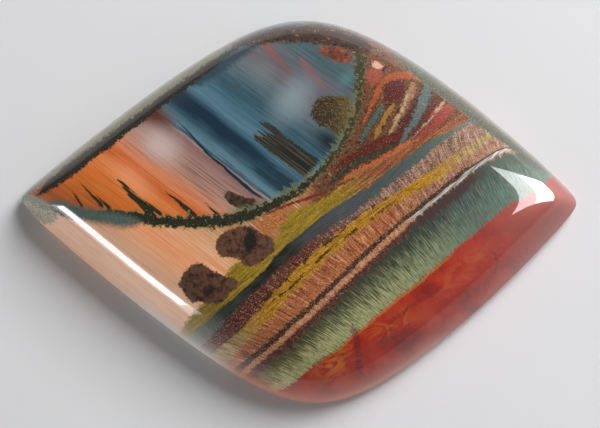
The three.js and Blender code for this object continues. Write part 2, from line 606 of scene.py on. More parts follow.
# %% Noises that many layers share
silk = noise(local(ruled, angle=SILK_ANGLE, size=(5.0, 0.12)))
broad_silk = noise(local(ruled, angle=SILK_ANGLE, size=(14.0, 0.8)), 1.0, 2.0, 0.5)
grit = noise(ruled, 8.5, 3.0, 0.75, depth=height)
crumb = noise(ruled, 2.2, 3.0, 0.6, depth=height)
clouds = noise(ruled, 0.42, 3.0, 0.55)
fray = noise(ruled, 4.2, 3.0, 0.7) - 0.5
fibres = noise(local(fan, size=(0.17, 1.5)), 1.0, 3.0, 0.7)
fringe_teeth = noise(local(fan, size=(0.36, 6.0)), 1.0, 3.0, 0.7) - 0.5
thread = spread(silk, 0.32, 0.68)
streaks = spread(noise(local(fan, size=(1.4, 0.14))), 0.32, 0.68)
cross = spread(fibres, 0.32, 0.68)
specks = spread(grit, 0.34, 0.66)
print("shared noises are ready:", len(tree.nodes), "nodes so far")

# %% [markdown]
# ## The silk ground
#
# Tiger eye gets its silk from fibres that once grew side by side across an open crack. Seen along
# the stone's top they are stripes that fall to the right: iron-stained orange at the left, then
# a mauve stretch where the stain thins out, then the blue-grey of unrusted fibres. One colour ramp
# across the fibres gives all of it. Two stretched noises push the ramp's value to and fro, which
# turns clean stripes into silk.

# %% Paint the silk
SILK_LOW, SILK_HIGH = -13.0, 14.0
SILK_STOPS = [
    (-13.0, (190, 100, 46)), (-9.4, (206, 108, 42)), (-7.4, (220, 118, 50)), (-6.3, (228, 132, 70)),
    (-5.4, (202, 92, 32)), (-4.6, (222, 132, 84)), (-3.7, (196, 142, 120)), (-2.8, (172, 136, 122)),
    (-1.7, (160, 124, 114)), (-1.1, (140, 98, 92)), (-0.8, (168, 148, 148)), (-0.62, (28, 54, 70)),
    (-0.35, (98, 132, 146)), (0.35, (66, 100, 116)), (0.9, (34, 62, 78)), (1.6, (24, 48, 64)),
    (2.1, (56, 90, 106)), (2.8, (88, 124, 142)), (3.7, (70, 106, 122)), (4.8, (52, 84, 96)),
    (5.8, (84, 104, 112)), (6.8, (92, 106, 112)), (7.9, (104, 92, 96)), (8.7, (96, 98, 104)),
    (9.8, (92, 96, 102)), (10.8, (66, 90, 94)), (13.5, (84, 88, 92)),
]
silk_shift = (broad_silk - 0.5) * 1.1 + (silk - 0.5) * 0.5
ground = ramp(silk_across + silk_shift, SILK_STOPS, SILK_LOW, SILK_HIGH)
print("silk ramp:", len(SILK_STOPS), "colours over", SILK_HIGH - SILK_LOW, "mm")


# %% Give the silk its threads
def with_threads(silk_colour, dark_share, dark, pale_share, pale):
    """Darkens the threads where the silk's noise is low, and brightens them where it is high."""
    silk_colour = paint(silk_colour, spread(thread, 0.4, 0.0) * dark_share, dark)
    return paint(silk_colour, spread(thread, 0.6, 1.0) * pale_share, pale)


orange_side = smooth(-1.0 - silk_across, 0.0, 2.0)
blue_side = 1.0 - orange_side
ground = with_threads(ground, orange_side * 0.4, (132, 58, 26), orange_side * 0.35, (240, 146, 88))
ground = with_threads(ground, blue_side * 0.3, (30, 52, 66), blue_side * 0.2, (126, 154, 166))
print("silk and threads:", len(tree.nodes), "nodes")

# %% Stains in the silk, and two patches of painted sheen
# Centre, angle, size, strength and colour.
SILK_STAINS_AND_SHEEN = [
    ((-11.6, 7.9), SILK_ANGLE, (3.0, 1.6), 1.0, (92, 42, 20)),
    # Painted sheen: a pale grey haze where the silk glows under the light, not a stain.
    ((-11.1, 5.4), SILK_ANGLE, (2.9, 2.1), 0.8, (208, 188, 182)),
    ((-13.4, 2.6), SILK_ANGLE, (3.6, 1.5), 0.75, (242, 158, 112)),
    # Painted sheen: the milky blue-white glow over the blue silk, not a stain.
    ((-0.6, 9.2), 55, (3.4, 2.3), 0.75, (140, 156, 162)),
    ((-3.0, 11.6), SILK_ANGLE, (2.6, 1.7), 0.45, (128, 134, 138)),
]
for centre, angle, size, strength, tint in SILK_STAINS_AND_SHEEN:
    ground = paint(ground, cloud(place, centre, angle, size) * strength, tint)
print("stains and hazes:", len(SILK_STAINS_AND_SHEEN))

# %% Dark threads and strands in the silk
fine_thread = noise(local(ruled, angle=SILK_ANGLE, size=(7.0, 0.085)), 1.0, 1.0, 0.5)
mauve_patch = cloud(place, (-7.2, 2.2), SILK_ANGLE, (4.6, 2.6))
ground = paint(ground, smooth(fine_thread, 0.56, 0.66) * mauve_patch, (92, 62, 52))
# Start, end, half widths, bow, raggedness, softness, strength and colour.
SILK_STRANDS = [
    ((-10.8, 10.4), (-3.4, 4.3), (0.75, 0.25), 0.0, 1.6, 0.25, 0.9, (24, 44, 62)),
    ((-9.76, 7.5), (-2.8, 0.9), (0.05, 0.16), -0.35, 0.15, 0.05, 1.0, (22, 44, 56)),
    ((-9.0, 10.6), (-3.6, 13.9), (0.8, 0.3), 0.0, 1.2, 0.3, 0.85, (36, 62, 74)),
    ((-3.6, 3.5), (-0.6, 1.3), (0.3, 0.5), 0.0, 2.0, 0.2, 0.8, (26, 52, 62)),
    ((-3.1, 14.1), (-0.6, 11.2), (0.4, 0.15), 0.0, 1.5, 0.25, 0.7, (140, 82, 76)),
    ((0.0, 12.6), (2.2, 9.8), (0.4, 0.1), 0.0, 1.5, 0.25, 0.65, (140, 90, 92)),
]
silk_fray = silk - 0.5
for start, end, widths, bow, ragged, soft, strength, tint in SILK_STRANDS:
    strand = ribbon(place, start, end, widths, bow, silk_fray * ragged, soft)
    ground = paint(ground, strand * strength, tint)
print("dark and red strands in the silk:", len(SILK_STRANDS))
ground = paint(ground, cloud(place, (3.7, 11.0), 50, (1.3, 0.8)) * 0.6, (84, 128, 126))
ground = paint(ground, cloud(place, (2.2, 5.7), -30, (2.2, 1.5)) * 0.95, (20, 32, 42))

# %% [markdown]
# ## The peach silk below the vein
#
# Below the dark vein the same silk comes back without the blue: peach and salmon, paler towards
# the near rim, and tan where it meets the gold. Part of that paleness is painted light: the near
# left slope faces away from the key light, so its palest stops are painted brighter, and the glow
# round the white streak is painted in too. It is a second ramp across the same fibres.

# %% Paint the peach silk
PEACH_LOW, PEACH_HIGH = -22.0, -3.0
# The stops from -13 to -8.6 carry painted light: paler than the silk itself, for the shaded slope.
PEACH_STOPS = [
    (-22.0, (214, 170, 142)), (-13.0, (250, 200, 170)), (-11.5, (255, 202, 166)),
    (-10.0, (255, 182, 136)), (-8.6, (250, 164, 114)), (-7.0, (232, 172, 126)),
    (-5.4, (198, 150, 98)), (-3.0, (166, 106, 58)),
]
peach = ramp(silk_across + silk_shift, PEACH_STOPS, PEACH_LOW, PEACH_HIGH)
print("peach ramp:", len(PEACH_STOPS), "colours over", PEACH_HIGH - PEACH_LOW, "mm")
peach = with_threads(peach, 0.25, (190, 104, 62), 0.5, (255, 212, 180))

# %% [markdown]
# ## Broken rock at the far right
#
# Where the beds fan out at the far right the rock was crushed and healed again: crumbs of rust,
# olive and red, run through by ribbons of blue, gold and dark red fibre that were dragged along.
# The crumbs are noise through a ramp, and the ribbons come from the ribbon group.

# %% Paint the broken rock
RUBBLE = [(38, 26, 22), (78, 40, 30), (124, 68, 44), (76, 72, 46), (120, 50, 38), (150, 112, 82)]
# Centre, angle, size, strength and colour.
ROCK_PATCHES_AND_GLINT = [
    ((5.9, 11.1), 20, (1.3, 1.2), 0.9, (156, 76, 58)),
    ((6.2, 12.1), -20, (0.8, 0.5), 1.0, (212, 160, 140)),
    ((7.6, 9.9), 70, (2.1, 1.5), 1.0, (84, 32, 30)),
    ((11.3, 10.2), -40, (2.6, 0.9), 0.9, (84, 92, 74)),
    ((11.4, 10.6), -20, (0.6, 0.4), 0.9, (206, 140, 112)),
    ((11.3, 8.1), 28, (2.0, 0.9), 1.0, (164, 72, 58)),
    ((12.6, 6.5), 30, (1.9, 1.2), 0.7, (160, 114, 78)),
    # Painted highlight: the pale teal patch is a glint in the polish, not the rock's colour.
    ((15.2, 6.4), -18, (1.9, 0.7), 0.9, (160, 184, 176)),
]
rubble_crumb = spread(crumb * 0.6 + grit * 0.4, 0.36, 0.64)
colour = tones(rubble_crumb, *RUBBLE)
for centre, angle, size, strength, tint in ROCK_PATCHES_AND_GLINT:
    patch = smooth(cloud(place, centre, angle, size) + fray * 0.9, 0.2, 0.6)
    colour = paint(colour, patch * strength, tint)
print("patches of broken rock:", len(ROCK_PATCHES_AND_GLINT))

# %% Paint the ribbons in the broken rock
RIBBON_OUTLINE = 0.35
# Start, end, half widths, bow and colour.
ROCK_RIBBONS = [
    ((5.0, 7.2), (6.6, 11.0), (0.1, 0.3), -0.1, (170, 86, 44)),
    ((6.3, 10.6), (10.2, 10.9), (0.26, 0.34), 0.5, (166, 84, 44)),
    ((4.6, 5.2), (6.7, 8.8), (0.12, 0.26), 0.1, (72, 100, 94)),
    ((5.8, 5.6), (7.5, 8.9), (0.12, 0.26), 0.1, (160, 120, 56)),
    ((6.4, 5.2), (9.3, 10.9), (0.18, 0.36), -0.2, (156, 114, 84)),
    ((6.2, 5.0), (8.6, 9.6), (0.08, 0.16), -0.2, (196, 158, 116)),
    ((7.2, 5.2), (9.7, 9.8), (0.2, 0.24), -0.15, (84, 32, 32)),
    ((7.6, 4.9), (10.5, 11.2), (0.22, 0.52), -0.35, (92, 108, 108)),
    ((8.4, 5.6), (11.3, 9.9), (0.12, 0.22), -0.1, (98, 42, 36)),
    ((8.3, 5.3), (11.6, 9.2), (0.04, 0.1), -0.1, (190, 150, 128)),
    ((7.9, 4.8), (12.0, 8.4), (0.12, 0.5), -0.15, (150, 62, 48)),
    ((2.8, 3.4), (8.2, 6.3), (0.16, 0.4), 0.3, (100, 30, 26)),
    ((2.2, 2.1), (8.8, 5.5), (0.2, 0.28), 0.6, (52, 56, 44)),
    ((3.2, 2.4), (9.3, 5.9), (0.3, 0.34), -0.1, (188, 104, 60)),
    ((6.0, 2.9), (12.4, 6.6), (0.34, 0.32), 0.2, (94, 120, 114)),
    ((2.5, 1.4), (9.7, 5.5), (0.26, 0.14), -0.05, (198, 144, 54)),
]
OUTLINE_WIDTH = 0.08
worn = fray * 0.5 + (crumb - 0.5) * 0.7
for start, end, widths, bow, tint in ROCK_RIBBONS:
    wider = [width + OUTLINE_WIDTH for width in widths]
    strand = ribbon(place, start, end, wider, bow, worn, 0.1)
    colour = paint(colour, strand * 0.7, [level * RIBBON_OUTLINE for level in tint])
    strand = ribbon(place, start, end, widths, bow, worn, 0.08)
    colour = paint(colour, strand * (0.75 + specks * 0.25), tint)
colour = paint(colour, smooth(grit, 0.57, 0.66) * 0.4, (206, 160, 122))
colour = paint(colour, smooth(grit, 0.47, 0.37) * 0.55, (50, 32, 26))
print("rock ribbons:", len(ROCK_RIBBONS))

# %% [markdown]
# ## The silk's window
#
# A dark vein runs in from the left tip, and then swings up round the silk like the lead of a
# round window. Its path is drawn as a clock face about one centre: how far out the vein lies in
# each direction. Inside lies the silk, outside at the left its peach twin, and at the right the
# broken rock.

# %% Lay the silk inside the window
WINDOW_CENTRE = (-8.0, 12.3)
# Share of a full turn, from the left round by below, and the distance from the centre.
WINDOW_REACH = [
    (0.0, 24.0), (0.09, 20.5), (0.111, 17.8), (0.133, 16.7), (0.151, 15.6), (0.168, 14.5),
    (0.19, 13.8), (0.214, 13.46), (0.233, 13.3), (0.25, 13.2), (0.3, 13.2), (0.36, 13.2),
    (0.43, 13.2), (0.461, 13.0), (0.504, 12.8), (0.523, 12.3), (0.539, 10.9), (0.58, 9.6),
    (0.7, 12.0), (1.0, 24.0),
]
window_distance, window_turn = from_centre(place, WINDOW_CENTRE)
window_reach = curve(window_turn, WINDOW_REACH, 0.0, 1.0, 0.0, 25.0)
outside_window = window_distance - window_reach

place_x, place_y = place
left_part = smooth(0.9 - place_x + fray * 1.6, -0.5, 0.5)
colour = paint(colour, left_part, peach)
colour = paint(colour, smooth(outside_window * -1.0 + fray * 0.2), ground)
print("the window's edge is drawn by", len(WINDOW_REACH), "points")

# %% [markdown]
# ## Iron lumps in the window
#
# Three lumps of iron ore interrupt the silk. The block in the middle is a bundle of dark needles
# that all run along the silk, so it ends in a comb. The other two are rounder.

# %% Paint the block of needles
BLOCK_LEFT, BLOCK_RIGHT = -6.3, -1.3
BLOCK_ACROSS, BLOCK_HALF_WIDTH = 3.25, 0.95
comb = noise(local(ruled, angle=SILK_ANGLE, size=(9.0, 0.3)), 1.0, 2.0, 0.5) - 0.5
block_left = silk_along - BLOCK_LEFT + comb * 4.5
block_right = BLOCK_RIGHT - silk_along + comb * 1.2
block_side = BLOCK_HALF_WIDTH - abs(silk_across - BLOCK_ACROSS)
block = smooth(smaller(smaller(block_left, block_right), block_side + fray * 0.35), -0.06, 0.1)
colour = paint(colour, block, paint((34, 35, 32), spread(thread, 0.3, 1.0), (82, 76, 62)))
print("the block is", 2 * BLOCK_HALF_WIDTH, "mm across its needles")

# %% Paint the olive lump and the small lump of the window
OLIVE_REACHES = [1.8, 1.7, 1.6, 1.4, 1.6, 2.2, 2.1, 2.0, 2.0, 1.9, 1.7, 1.4, 1.3, 1.4, 1.6, 1.6]
SMALL_REACHES = [1.2, 0.9, 0.7, 0.7, 0.7, 0.8, 1.1, 1.4, 1.2, 0.6, 0.4, 0.4, 0.4, 0.5, 0.9, 1.4]
olive_lump = lump(place, (2.6, 8.15), OLIVE_REACHES, fray * 0.9, 0.1)
lump_tint = paint((58, 44, 36), smooth(place_x + fray * 3.0, 2.0, 4.2), (94, 82, 46))
lump_tint = paint(lump_tint, smooth(grit, 0.56, 0.64) * 0.6, (176, 152, 78))
lump_tint = paint(lump_tint, smooth(grit, 0.42, 0.36) * 0.7, (26, 24, 20))
colour = paint(colour, olive_lump, lump_tint)

small_lump = lump(place, (-4.7, 0.88), SMALL_REACHES, fray * 0.4, 0.08)
lump_dirt = tones(spread(crumb, 0.35, 0.65), (40, 34, 28), (66, 52, 40), (92, 66, 50))
colour = paint(colour, small_lump, lump_dirt)
print("lumps reach up to", max(OLIVE_REACHES), "and", max(SMALL_REACHES), "mm from their centres")

# %% [markdown]
# ## The beds that climb to the right
#
# Across the stone's near half run its beds: mustard, slate, a speckled red-brown, gold, salmon,
# a thin dark line, green, and red jasper last. In the frame of the beds each border is a height
# that changes slowly along the bed, so a Float Curve draws it through a few points. Each bed is
# painted over everything below its border, and the next bed covers the rest again.

# %% Borders of the beds
BED_REACH = 16.0
BORDER_LOW, BORDER_HIGH = -8.0, 4.0

MUSTARD_TOP = [(-16, -5.7), (-13.1, -6.4), (-11, -6.25), (-9.6, -7.2), (-8.2, -7.3), (-6.5, -6.7),
               (-4.7, -6.85), (-3.3, -7.75), (-2, -7.4), (-0.4, -6.9), (1.5, -6.7), (5.2, -6.2),
               (8.5, -5.65), (9.9, -5.5), (16, -4.6)]
SLATE_TOP = [(-16, -5.0), (-8, -5.35), (-4.4, -5.8), (-1, -5.8), (3.6, -5.3), (9, -5.1),
             (11.6, -4.6), (16, -3.8)]
BROWN_TOP = [(-16, -3.6), (-8.3, -4.55), (-4.2, -4.8), (1, -4.45), (5.7, -4.3), (11.5, -4.2),
             (16, -3.6)]
GOLD_TOP = [(-16, -2.7), (-11.4, -2.9), (-8, -3.5), (-3, -4), (1.7, -3.9), (7, -3.2),
            (12.3, -2.75), (16, -2.2)]
SALMON_TOP = [(-16, -1.3), (-10.9, -1.9), (-6, -2.6), (0, -3), (3.9, -2.8), (8, -2.2), (12.2, -2),
              (16, -1.4)]
DARK_LINE_TOP = [(-16, -0.6), (-13, -0.7), (-7.4, -0.95), (-3.7, -1.2), (0, -1.5), (6.6, -1.6),
                 (9, -1.6), (11, -1.3), (13.2, -0.7), (16, 0.3)]
THIN_SALMON_TOP = [(-16, 0.0), (-13, -0.2), (-7.5, -0.5), (-1.5, -1), (1.6, -1.2), (5.4, -1.3),
                   (11, -1.2), (16, 0.4)]
GREEN_TOP = [(-16, 1.2), (-11.2, 0.8), (-6, 0.35), (-1.8, -0.05), (2.9, -0.4), (5.2, -0.78),
             (8.4, -0.92), (11.4, -0.88), (12.8, -0.58), (14, 0.0), (16, 1.7)]
JASPER_TOP = [(-16, 2.5), (-14, 2.6), (-12.4, 3.1), (-4, 3.15), (5, 3.08), (11, 3.0),
              (11.8, 3.25), (16, 3.6)]


def border(points):
    return curve(bed_along, points, -BED_REACH, BED_REACH, BORDER_LOW, BORDER_HIGH)


def lay_bed(below, top, tint, ragged, soft):
    """Covers everything on the near side of a border with one bed's colour."""
    return paint(below, smooth(bed_down - border(top) + ragged, -soft, soft), tint)


def along_bed(*stops):
    """A colour that changes along the beds, between the left end and the right."""
    return ramp(bed_along, stops, -BED_REACH, BED_REACH)


print("beds are drawn between", -BED_REACH, "and", BED_REACH, "mm along their length")


# %% Mustard, slate and the speckled red-brown bed
mustard = tones(streaks * 0.45 + specks * 0.55,
                (70, 66, 28), (124, 106, 32), (164, 128, 36), (202, 166, 66))
far_mustard = tones(streaks * 0.45 + specks * 0.55,
                    (66, 36, 28), (118, 66, 44), (156, 94, 58), (190, 140, 92))
mustard = paint(mustard, smooth(bed_along + fray * 2.0, 0.0, 5.0), far_mustard)
colour = lay_bed(colour, MUSTARD_TOP, mustard, fray * 0.8, 0.14)

# The pale grey at the slate's left end is a painted reflection: the broken end of the white streak.
slate = along_bed((-16, (132, 136, 128)), (-12, (44, 48, 42)), (-9, (22, 22, 17)), (-5, (22, 22, 17)),
                  (-3, (58, 58, 62)), (0, (68, 70, 74)), (4, (68, 78, 80)), (8, (74, 88, 84)),
                  (16, (108, 116, 104)))
slate = paint(slate, streaks * 0.16, (128, 134, 120))
colour = lay_bed(colour, SLATE_TOP, slate, fray * 0.25, 0.06)

brown = tones(specks * 0.65 + cross * 0.35,
              (32, 14, 16), (78, 34, 28), (112, 64, 46), (196, 156, 138))
pinkish = tones(specks * 0.5 + cross * 0.5,
                (58, 42, 40), (116, 84, 72), (168, 128, 106), (204, 172, 150))
brown = paint(brown, smooth(bed_along, -4.0, 4.0), pinkish)
colour = lay_bed(colour, BROWN_TOP, brown, fringe_teeth * 0.8, 0.1)
print("mustard, slate and red-brown are laid:", len(tree.nodes), "nodes")

# %% Gold, salmon and the thin dark line
gold = tones(streaks * 0.5 + cross * 0.2 + specks * 0.3,
             (84, 54, 16), (156, 106, 20), (188, 136, 28), (212, 166, 76))
pale_gold = tones(cross, (112, 92, 60), (160, 132, 84), (196, 166, 112))
gold = paint(gold, smooth(abs(bed_along + 1.0), 8.0, 13.0), pale_gold)
colour = lay_bed(colour, GOLD_TOP, gold, fringe_teeth * 0.45, 0.1)

salmon = tones(cross * 0.7 + specks * 0.3,
               (78, 38, 26), (150, 84, 50), (184, 112, 70), (224, 166, 124))
far_salmon = tones(cross * 0.6 + specks * 0.4,
                   (84, 50, 40), (136, 92, 70), (172, 124, 98), (204, 164, 138))
salmon = paint(salmon, smooth(bed_along, 2.0, 8.0), far_salmon)
colour = lay_bed(colour, SALMON_TOP, salmon, fringe_teeth * 0.9, 0.12)
colour = lay_bed(colour, DARK_LINE_TOP, tones(specks, (30, 20, 18), (66, 42, 34), (122, 84, 66)),
                 fray * 0.5, 0.08)
thin_salmon = tones(cross * 0.5 + specks * 0.5, (112, 62, 42), (186, 126, 88), (226, 176, 136))
colour = lay_bed(colour, THIN_SALMON_TOP, thin_salmon, fray * 0.35, 0.07)
print("gold and salmon are laid:", len(tree.nodes), "nodes")

# %% A maroon zone below the salmon, and pale and dark pinpricks
below_thin = smooth(bed_down - border(THIN_SALMON_TOP) - 0.45 + fringe_teeth * 0.5, -0.1, 0.1)
below_thin = below_thin * smooth(6.5 - bed_along, 0.0, 2.5)
maroon = tones(specks * 0.6 + cross * 0.4, (36, 24, 22), (84, 42, 36), (132, 74, 60))
colour = paint(colour, below_thin, maroon)
pale_pinpricks = smooth(grit, 0.59, 0.66) * smooth(bed_down, -4.7, -4.2)
colour = paint(colour, pale_pinpricks * 0.5, (216, 190, 170))
dark_pinpricks = smooth(grit, 0.43, 0.36) * smooth(bed_down, -5.5, -4.8)
colour = paint(colour, dark_pinpricks * 0.6, (26, 20, 18))
print("maroon zone and pinpricks are laid:", len(tree.nodes), "nodes")

# %% Two lines of black dashes in the gold
DASH_LINE = [(-16, -2.4), (-10.5, -2.85), (-6.5, -3.0), (-3.4, -3.3), (1.2, -3.25), (4.6, -3.0),
             (16, -2.4)]
dash_noise = noise(local(fan, size=(0.9, 0.5)), 1.0, 2.0, 0.5)
dash_line = border(DASH_LINE)
DASH_SPACING = 0.62
for shift, dash_breaks in ((0.0, smooth(dash_noise, 0.43, 0.5)),
                           (-DASH_SPACING, smooth(dash_noise, 0.5, 0.44))):
    dash = smooth(0.1 - abs(bed_down - dash_line - shift + fray * 0.6), -0.07, 0.05) * dash_breaks
    dash = dash * smooth(8.0 - abs(bed_along + 2.5), 0.0, 3.0)
    colour = paint(colour, dash * 0.9, (34, 24, 14))
print("dash lines", DASH_SPACING, "mm apart")

# %% [markdown]
# ## The green seam and the jasper
#
# The green seam is tiger eye again, and here the fibres stand upright across it: dark blue-green
# at its upper edge, pale yellow-green at the lower, where they end in a row of teeth against the
# jasper. The jasper has no fibres. It is dense red silica, clouded with orange.

# %% Paint the green seam
green_start = border(GREEN_TOP)
green_end = border(JASPER_TOP)
through_green = maths("DIVIDE", bed_down - green_start, green_end - green_start)
green_dark = along_bed((-16, (120, 126, 74)), (-13, (104, 110, 56)), (-10, (70, 76, 46)),
                       (-5, (54, 62, 46)), (0, (44, 58, 48)), (5, (42, 60, 54)), (9, (66, 78, 76)),
                       (12, (58, 82, 72)), (16, (84, 102, 90)))
green_pale = along_bed((-16, (190, 190, 134)), (-13, (182, 180, 116)), (-9, (172, 170, 118)),
                       (-4, (158, 160, 110)), (0, (144, 150, 106)), (4, (122, 136, 106)),
                       (8, (92, 110, 100)), (11, (90, 116, 106)), (16, (106, 124, 112)))
fine_fibres = spread(noise(local(fan, size=(0.1, 1.3)), 1.0, 4.0, 0.7), 0.32, 0.68)
green = paint(green_dark, smooth(through_green + (fine_fibres - 0.5) * 0.7, 0.1, 0.85), green_pale)
green = paint(green, smooth(crumb, 0.48, 0.62) * 0.35, (98, 80, 52))
maroon_flecks = smooth(specks, 0.62, 0.9) * smooth(0.5 - through_green, 0.0, 0.4)
green = paint(green, maroon_flecks * 0.6, (96, 50, 46))
calm = smooth(bed_along, -2.0, 6.0)
dark_fibres = spread(fine_fibres, 0.45, 0.0) * maths("MULTIPLY_ADD", calm, -0.4, 0.6)
green = paint(green, dark_fibres, (44, 44, 32))
pale_fibres = spread(fine_fibres, 0.55, 1.0) * smooth(through_green, 0.1, 0.8)
pale_fibres = pale_fibres * maths("MULTIPLY_ADD", calm, -0.35, 0.5)
green = paint(green, pale_fibres, (204, 206, 158))
colour = lay_bed(colour, GREEN_TOP, green, fringe_teeth * 1.1, 0.2)
print("green seam is laid:", len(tree.nodes), "nodes")

# %% Paint the jasper
jasper = tones(spread(clouds, 0.3, 0.7), (124, 28, 18), (164, 36, 20), (172, 56, 28))
swirl = noise(local(ruled, angle=30, size=(2.2, 1.1)), 1.0, 4.0, 0.6, distortion=1.2)
# Centre, angle, size, the swirl's edge, strength and colour.
ORANGE_CLOUDS = [
    ((2.6, -12.2), 60, (3.0, 2.2), (0.42, 0.56), 1.0, (196, 104, 36)),
    ((7.2, -9.2), 30, (3.4, 1.6), (0.45, 0.6), 0.7, (190, 100, 40)),
    ((13.0, -4.9), 42, (5.0, 1.6), (0.45, 0.62), 0.6, (186, 92, 50)),
]
for centre, angle, size, swirl_edge, strength, tint in ORANGE_CLOUDS:
    orange = cloud(place, centre, angle, size) * smooth(swirl, *swirl_edge)
    jasper = paint(jasper, orange * strength, tint)
jasper = paint(jasper, smooth(bed_along + fray * 4.0, 4.0, 13.0) * 0.75, (158, 86, 76))
jasper = paint(jasper, smooth(grit, 0.56, 0.66) * 0.3, (196, 92, 48))
colour = lay_bed(colour, JASPER_TOP, jasper, (cross - 0.5) * 0.34 + fray * 0.25, 0.06)
gold_edge = smooth(0.1 - abs(bed_down - green_end - 0.12) + fray * 0.3, -0.08, 0.08)
gold_edge = gold_edge * smooth(8.0 - abs(bed_along + 2.0), 0.0, 3.0)
colour = paint(colour, gold_edge * 0.6, (186, 124, 54))

# Start, end, half widths, bow and colour.
DARK_IN_JASPER = [
    ((4.1, -9.2), (4.7, -14.0), (0.3, 0.2), 0.15, (92, 26, 44)),
    ((0.9, -12.9), (2.9, -11.6), (0.08, 0.12), 0.2, (110, 28, 26)),
    ((6.6, -9.5), (11.2, -6.2), (0.12, 0.2), 0.1, (118, 34, 32)),
    ((15.2, -3.3), (15.4, -5.4), (0.05, 0.07), 0.35, (92, 34, 30)),
]
for start, end, widths, bow, tint in DARK_IN_JASPER:
    streak = ribbon(place, start, end, widths, bow, fray * 1.2, 0.15)
    colour = paint(colour, streak * 0.6, tint)
print("orange clouds:", len(ORANGE_CLOUDS), "and dark streaks:", len(DARK_IN_JASPER))

# %% The silver seam above the green, and its purple-brown fringe
SEAM = [(-16, -1.1), (4.3, -1.1), (11.4, -1.06), (12.3, -0.92), (13.2, -0.7), (14, -0.3),
        (14.4, 0.25), (16, 2.4)]
seam_distance = bed_down - border(SEAM)
beyond = smooth(bed_along, 3.2, 5.0)
purple_fringe = smooth(0.42 - abs(seam_distance - 0.6) + fringe_teeth * 1.4, -0.15, 0.15)
colour = paint(colour, purple_fringe * beyond * smooth(12.0 - bed_along, 0.0, 2.5) * 0.9,
               (70, 50, 50))
# The seam is pale quartz, and its palest tones are painted highlight: the shine it catches.
seam = smooth(0.13 - abs(seam_distance) + fray * 0.12, -0.05, 0.05) * beyond
colour = paint(colour, seam, tones(streaks, (104, 104, 96), (160, 162, 154), (206, 208, 200)))
dark_edge = smooth(0.05 - abs(seam_distance + 0.2), -0.04, 0.04) * beyond
colour = paint(colour, dark_edge, (56, 52, 46))
print("the seam's border is drawn by", len(SEAM), "points")

# %% [markdown]
# ## The vein, its barbs, and the lumps that hang from it
#
# The black-green vein was the last to come. It is widest at the left, where barbs stand up from it
# into the orange silk like the branches of a fallen pine, and it thins out as it swings up.

# %% Paint the vein
# Share of a full turn and the vein's half width there.
VEIN_WIDTH = [(0.0, 0.3), (0.111, 0.16), (0.14, 0.3), (0.2, 0.4), (0.28, 0.45), (0.33, 0.3),
              (0.38, 0.2), (0.45, 0.22), (0.5, 0.4), (0.54, 0.5), (0.6, 0.5), (1.0, 0.3)]
vein_half = curve(window_turn, VEIN_WIDTH, 0.0, 1.0, 0.0, 1.0)
vein_edge = vein_half - abs(outside_window)
on_top_right = smooth(window_turn, 0.34, 0.42)
vein_dark = tones(rubble_crumb, (16, 18, 12), (32, 36, 26), (54, 58, 40), (26, 30, 20),
                  (44, 46, 32), (136, 130, 98))
vein_olive = tones(rubble_crumb, (18, 20, 14), (36, 38, 24), (72, 68, 40), (40, 36, 26),
                   (140, 132, 98))
vein_colour = paint(vein_dark, on_top_right, vein_olive)
inside_fringe = smooth(vein_edge + 0.3 + comb * 1.6, -0.1, 0.1)
inside_fringe = inside_fringe * smooth(outside_window * -1.0, 0.0, 0.1)
inside_fringe = inside_fringe * smooth(window_turn, 0.24, 0.3) * smooth(window_turn, 0.48, 0.43)
colour = paint(colour, inside_fringe * 0.45, (120, 136, 106))
jagged = fray * 0.45 + (crumb - 0.5) * 1.3
halo = smooth(vein_edge + 0.16 + jagged, -0.08, 0.08) * maths("MULTIPLY_ADD", on_top_right, -0.3, 0.6)
colour = paint(colour, halo, (122, 114, 72))
vein_crumbs = (crumb - 0.5) * on_top_right * 1.2
colour = paint(colour, smooth(vein_edge + jagged + vein_crumbs, -0.06, 0.06), vein_colour)
print("the vein's width is drawn by", len(VEIN_WIDTH), "points")

# %% Paint the barbs and the blue-green patch under the vein
# Tip, foot and half widths.
BARBS = [
    ((-18.3, 1.8), (-17.3, 0.3), (0.01, 0.14)), ((-17.6, 2.4), (-15.6, 0.2), (0.01, 0.2)),
    ((-16.3, 1.3), (-15.0, 0.1), (0.01, 0.15)), ((-14.5, 2.5), (-11.6, -0.3), (0.08, 0.42)),
    ((-13.1, 1.3), (-10.9, -0.4), (0.01, 0.24)), ((-10.6, 1.6), (-8.4, -0.3), (0.01, 0.2)),
    ((-9.9, 0.8), (-8.2, -0.5), (0.01, 0.2)), ((-7.5, 0.6), (-6.4, -0.4), (0.01, 0.16)),
]
blue_green = ribbon(place, (-20.2, 0.6), (-12.6, -1.0), (0.6, 0.5), -0.2, fray * 0.5, 0.4)
colour = paint(colour, blue_green,
               tones(clouds * 0.6 + specks * 0.4, (48, 72, 72), (92, 108, 100), (128, 134, 120)))
for start, end, widths in BARBS:
    barb = ribbon(place, start, end, widths, 0.0, silk_fray * 0.4, 0.05)
    colour = paint(colour, barb, vein_dark)
print("barbs:", len(BARBS))

# %% Paint the orange triangle and the two large lumps
triangle = smooth(cloud(place, (-2.1, -0.9), 28, (2.2, 1.0)) + fray * 0.6, 0.3, 0.5)
triangle = triangle * smooth(outside_window, 0.2, 0.4)
colour = paint(colour, triangle, tones(specks, (124, 62, 30), (176, 108, 58), (206, 140, 88)))
red_line = ribbon(place, (-2.9, -0.35), (2.2, 1.6), (0.08, 0.14), 0.05, fray * 0.4, 0.07)
colour = paint(colour, red_line, (112, 44, 32))

